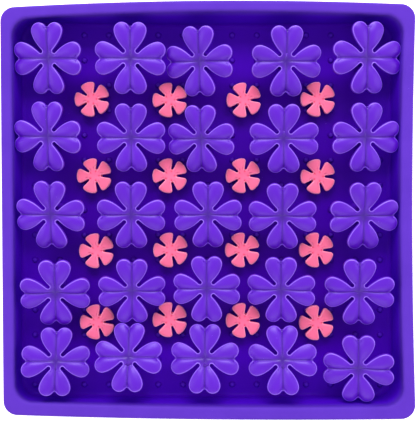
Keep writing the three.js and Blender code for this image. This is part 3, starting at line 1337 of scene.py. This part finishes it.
def make_painted_highlight_shade_group() -> bpy.types.NodeTree:
    """Paints the shade in hollows and the highlights on thin edges that a mesh states for its
    points.

    Returns:
        A group that puts out a colour.
    """
    group = NodeGroup("painted_highlights_and_shade")
    # Hollow is the painted shade's colour and Pale the painted highlight's colour.
    group.inputs(SocketKind.COLOUR, colour=GREY, hollow=GREY, pale=GREY)
    group.inputs(SocketKind.NUMBER, edge_share=0.5)
    painted_shade = group.add("ShaderNodeAttribute", attribute_name="painted_shade")["Fac"]
    painted_highlight = group.add("ShaderNodeAttribute", attribute_name="painted_highlight")["Fac"]
    # Painted shade, then painted highlight, mixed over the colour.
    shaded = group.mix(painted_shade, "Colour", "Hollow")
    share = group.work_out("MULTIPLY", painted_highlight, "Edge Share")
    group.output("Colour", SocketKind.COLOUR, group.mix(share, shaded, "Pale"))
    return group.tree


def make_painted_depth_group() -> bpy.types.NodeTree:
    """Paints light and shade down a tray's inside, from its rim over its wall to its floor: painted
    light and shade on the wall, painted light on the lane round the floor and painted shade in the
    floor's middle.

    The underside, and what faces outwards farther from the middle than the inner walls, keep the
    rim's colour.

    Returns:
        A group that puts out a colour.
    """
    group = NodeGroup("tray_painted_depth_light")
    group.inputs(SocketKind.COLOUR, rim=GREY, wall=GREY, lane=GREY, middle=GREY)
    group.inputs(SocketKind.NUMBER, wall_top=23.4 * MM, wall_middle=15.0 * MM)
    group.inputs(SocketKind.NUMBER, wall_foot=8.0 * MM, floor=2.5 * MM)
    group.inputs(SocketKind.NUMBER, inside_reach=116.0 * MM, outside_reach=121.0 * MM)
    group.inputs(SocketKind.NUMBER, lane_start=0.86, all_lane=1.06, faces_down=-0.6, faces_up=-0.2)
    group.inputs(SocketKind.VECTOR, middle_half=(105.0 * MM, 92.0 * MM, 1.0), level=(1.0, 1.0, 0.0))
    surface = group.add("ShaderNodeTexCoord")
    place, normal = surface["Object"], surface["Normal"]
    height = group.split(place)["Z"]
    off_middle = group.combine("ABSOLUTE", place)
    shares = group.split(group.combine("DIVIDE", off_middle, "Middle Half"))
    farthest = group.work_out("MAXIMUM", shares["X"], shares["Y"])
    # Painted shade in the floor's middle, painted light on the lane by the walls.
    floor = group.mix(group.run(farthest, "Lane Start", "All Lane"), "Middle", "Lane")
    wall = group.mix(group.run(height, "Wall Top", "Wall Middle"), "Rim", "Wall")
    inside = group.mix(group.run(height, "Wall Foot", "Floor"), wall, floor)
    topside = group.run(group.split(normal)["Z"], "Faces Down", "Faces Up")
    sideways = {0: group.combine("MULTIPLY", normal, "Level"), 1: place}
    outward = group.add("ShaderNodeVectorMath", sideways, operation="DOT_PRODUCT")["Value"]
    within = group.run(outward, "Inside Reach", "Outside Reach", low=1.0, high=0.0)
    share = group.work_out("MULTIPLY", topside, within)
    group.output("Colour", SocketKind.COLOUR, group.mix(share, "Rim", inside))
    return group.tree


def make_lint_group() -> bpy.types.NodeTree:
    """Makes the few specks of lint that silicone gathers.

    Returns:
        A group that puts out a mask.
    """
    group = NodeGroup("lint_specks")
    group.inputs(SocketKind.NUMBER, speck_size=260.0, amount=0.05)
    group.inputs(SocketKind.NUMBER, cluster_size=30.0, cluster_level=0.55)
    cells = group.add("ShaderNodeTexVoronoi", {"Vector": group.where(), "Scale": "Speck Size"})
    speck = group.work_out("LESS_THAN", cells["Distance"], "Amount")
    clusters = group.noise("Cluster Size", detail=2.0)
    cluster = group.work_out("GREATER_THAN", clusters, "Cluster Level")
    group.output("Mask", SocketKind.NUMBER, group.work_out("MULTIPLY", speck, cluster))
    return group.tree


def solid(colour: Colour) -> tuple[float, ...]:
    """Gives a colour as a socket holds it, with nothing shining through."""
    return (*colour, 1.0)


@dataclass(frozen=True)
class Effects:
    """The node groups that the finishes share."""

    grain: bpy.types.NodeTree
    drift: bpy.types.NodeTree
    # The depth group paints light and shade down the tray; the edge group paints shade in hollows
    # and highlights on thin edges.
    depth: bpy.types.NodeTree
    edges: bpy.types.NodeTree
    lint: bpy.types.NodeTree


@dataclass(frozen=True)
class PaintedDepthLight:
    """The painted light and shade down a tray: on its wall, on the lane round its floor and in the
    floor's middle.
    """

    wall: Colour
    lane: Colour
    middle: Colour


@dataclass(frozen=True)
class SiliconeFinish:
    """A soft satin silicone."""

    name: str
    base: Colour
    deep: Colour
    # Hollow is the colour of painted shade; pale that of painted edge highlights and of lint;
    # edge_share sets how strong the painted highlight is; the depth tones hold the tray's painted
    # light and shade.
    hollow: Colour
    pale: Colour
    roughness: float
    edge_share: float
    specular: float
    depth: PaintedDepthLight | None = None
    rough_spread: float = 0.1
    lint_amount: float = 0.03
    grain_strength: float = 0.3
    grain_distance: float = 0.05 * MM
    scatter: float = 0.06
    scatter_reach: float = 1.5 * MM
    scatter_tint: Colour = (1.0, 0.6, 1.0)

    def make(self, effects: Effects) -> bpy.types.Material:
        """Makes the material.

        Args:
            effects: The shared node groups.

        Returns:
            The material.
        """
        material = bpy.data.materials.new(self.name)
        material.use_nodes = True
        bench = NodeBench(material.node_tree)
        shader = material.node_tree.nodes["Principled BSDF"].inputs
        shader["Specular IOR Level"].default_value = self.specular
        shader["Subsurface Weight"].default_value = self.scatter
        shader["Subsurface Radius"].default_value = self.scatter_tint
        shader["Subsurface Scale"].default_value = self.scatter_reach

        lint = bench.place(effects.lint, {"Amount": self.lint_amount})
        colour = bench.mix(lint, self._clean_colour(bench, effects), solid(self.pale))
        bench.feed(shader["Base Color"], colour)
        height = bench.place(effects.grain)
        grain = {
            "Strength": self.grain_strength,
            "Distance": self.grain_distance,
            "Height": height,
        }
        bench.feed(shader["Normal"], bench.add("ShaderNodeBump", grain)["Normal"])
        smooth = self.roughness - self.rough_spread / 2
        rough = self.roughness + self.rough_spread / 2
        bench.feed(shader["Roughness"], bench.run(height, 0.0, 1.0, smooth, rough, Easing.EVEN))
        return material

    def _clean_colour(self, bench: NodeBench, effects: Effects) -> Socket:
        """Adds the silicone's colour with its painted light and shade, without its lint.

        Args:
            bench: The material's nodes.
            effects: The shared node groups.

        Returns:
            The colour.
        """
        colour = bench.place(effects.drift, {"Base": solid(self.base), "Deep": solid(self.deep)})
        # Painted light and shade down the tray's inside.
        if self.depth:
            tones = {
                "Rim": colour,
                "Wall": solid(self.depth.wall),
                "Lane": solid(self.depth.lane),
                "Middle": solid(self.depth.middle),
            }
            colour = bench.place(effects.depth, tones)
        # Painted shade in hollows and painted highlights on thin edges.
        edges = {
            "Colour": colour,
            "Hollow": solid(self.hollow),
            "Pale": solid(self.pale),
            "Edge Share": self.edge_share,
        }
        return bench.place(effects.edges, edges)


# The clovers' silicone: hollow paints shade in the grooves and the middle; pale paints the edge
# highlight and colours the lint.
PURPLE = SiliconeFinish(
    name="purple_silicone",
    base=(0.135, 0.004, 0.555),
    deep=(0.124, 0.003, 0.515),
    hollow=(0.062, 0.002, 0.29),
    pale=(0.48, 0.28, 1.0),
    roughness=0.37,
    edge_share=0.6,
    specular=0.7,
)
# The tray's copy of the purple silicone: a greyer base that paints in a sheen, and painted light
# and shade down its inside; hollow and pale paint the nubs' shade and highlight.
TRAY_PURPLE_PAINTED_LIGHT = SiliconeFinish(
    name="purple_silicone_tray_painted_light",
    base=(0.154, 0.058, 0.52),
    deep=(0.139, 0.052, 0.485),
    hollow=(0.045, 0.0005, 0.2),
    pale=(0.46, 0.28, 0.92),
    roughness=0.38,
    edge_share=0.42,
    specular=0.08,
    depth=PaintedDepthLight(
        wall=(0.13, 0.006, 0.64),
        lane=(0.108, 0.0001, 0.53),
        middle=(0.084, 0.0001, 0.42),
    ),
)
# The flowers' silicone: hollow paints shade in the dimples; pale paints the edge highlight and
# colours the lint.
PINK = SiliconeFinish(
    name="pink_silicone",
    base=(1.0, 0.24, 0.41),
    deep=(1.0, 0.22, 0.38),
    hollow=(0.85, 0.06, 0.15),
    pale=(1.0, 0.56, 0.74),
    roughness=0.5,
    edge_share=0.55,
    specular=0.28,
)


# The studio


@dataclass(frozen=True)
class Softbox:
    """One soft light, aimed at the mat."""

    name: str
    place: tuple[float, float, float]
    size: tuple[float, float]
    watts: float

    def add(self) -> None:
        """Adds the light."""
        lamp = bpy.data.lights.new(self.name, "AREA")
        lamp.shape = "RECTANGLE"
        lamp.size, lamp.size_y = self.size
        lamp.energy = self.watts
        made = bpy.data.objects.new(self.name, lamp)
        made.location = self.place
        aim = -Vector(self.place)
        made.rotation_mode = "QUATERNION"
        made.rotation_quaternion = aim.to_track_quat("-Z", "Y")
        bpy.context.scene.collection.objects.link(made)


@dataclass
class Studio:
    """The floor, the lights and the camera over the mat."""

    rim_height: float = RIM_HEIGHT
    camera_height: float = 415.0 * MM
    camera_east: float = 0.3 * MM
    camera_north: float = -0.4 * MM
    lens: float = 56.24
    nearest_view: float = 10.0 * MM
    floor_span: float = 6.0
    floor_colour: Colour = (0.96, 0.96, 0.96)
    floor_roughness: float = 0.9
    ambient: float = 0.76
    glow: float = 0.5
    gamma: float = 0.8
    softboxes: tuple[Softbox, ...] = (
        Softbox("north_softbox", place=(0.0, 1.46, 1.37), size=(1.6, 0.75), watts=28.0),
        Softbox("west_softbox", place=(-1.68, 0.0, 1.08), size=(1.2, 1.8), watts=8.5),
        Softbox("east_softbox", place=(1.7, 0.0, 1.06), size=(1.2, 1.8), watts=8.0),
        Softbox("south_softbox", place=(0.0, -1.64, 1.15), size=(1.8, 1.2), watts=7.5),
    )

    def build(self) -> None:
        """Adds the floor, the lights and the camera."""
        self._floor()
        for softbox in self.softboxes:
            softbox.add()
        world = bpy.data.worlds.new("studio_air")
        world.use_nodes = True
        air = world.node_tree.nodes["Background"].inputs
        air["Strength"].default_value = self.ambient
        air["Color"].default_value = WHITE
        bpy.context.scene.world = world
        bpy.context.scene.view_settings.view_transform = "Standard"
        bpy.context.scene.view_settings.gamma = self.gamma
        self._camera()

    def _floor(self) -> None:
        """Adds the plain pale floor."""
        draft = MeshDraft()
        half = self.floor_span / 2
        corners = ((-half, -half), (half, -half), (half, half), (-half, half))
        draft.cap(draft.add_loop([Vector((x, y, 0.0)) for x, y in corners]), outward_up=True)
        floor = draft.to_object("studio_floor")
        material = bpy.data.materials.new("pale_floor")
        material.use_nodes = True
        shader = material.node_tree.nodes["Principled BSDF"].inputs
        shader["Base Color"].default_value = solid(self.floor_colour)
        shader["Roughness"].default_value = self.floor_roughness
        shader["Emission Color"].default_value = WHITE
        shader["Emission Strength"].default_value = self.glow
        floor.data.materials.append(material)

    def _camera(self) -> None:
        """Adds the camera, which looks straight down."""
        lens = bpy.data.cameras.new("photo_camera")
        lens.lens = self.lens
        lens.clip_start = self.nearest_view
        camera = bpy.data.objects.new("photo_camera", lens)
        height = self.rim_height + self.camera_height
        camera.location = (self.camera_east, self.camera_north, height)
        bpy.context.scene.collection.objects.link(camera)
        bpy.context.scene.camera = camera


def main() -> None:
    """Builds the mat and its studio, and writes down how large they come out."""
    logging.basicConfig(level=logging.INFO, format="%(name)s: %(message)s")
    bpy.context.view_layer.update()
    effects = Effects(
        grain=make_grain_group(),
        drift=make_drift_group(),
        depth=make_painted_depth_group(),
        edges=make_painted_highlight_shade_group(),
        lint=make_lint_group(),
    )
    grid = Grid()
    tray = Tray(grid, TRAY_PURPLE_PAINTED_LIGHT.make(effects)).build()
    clovers = CloverBed(grid, PURPLE.make(effects)).build()
    flowers = FlowerBed(grid, PINK.make(effects)).build()
    for piece in (tray, *clovers, *flowers):
        LOG.info("%s has %d faces", piece.name, len(piece.data.polygons))
    Studio().build()


if __name__ == "__main__":
    main()
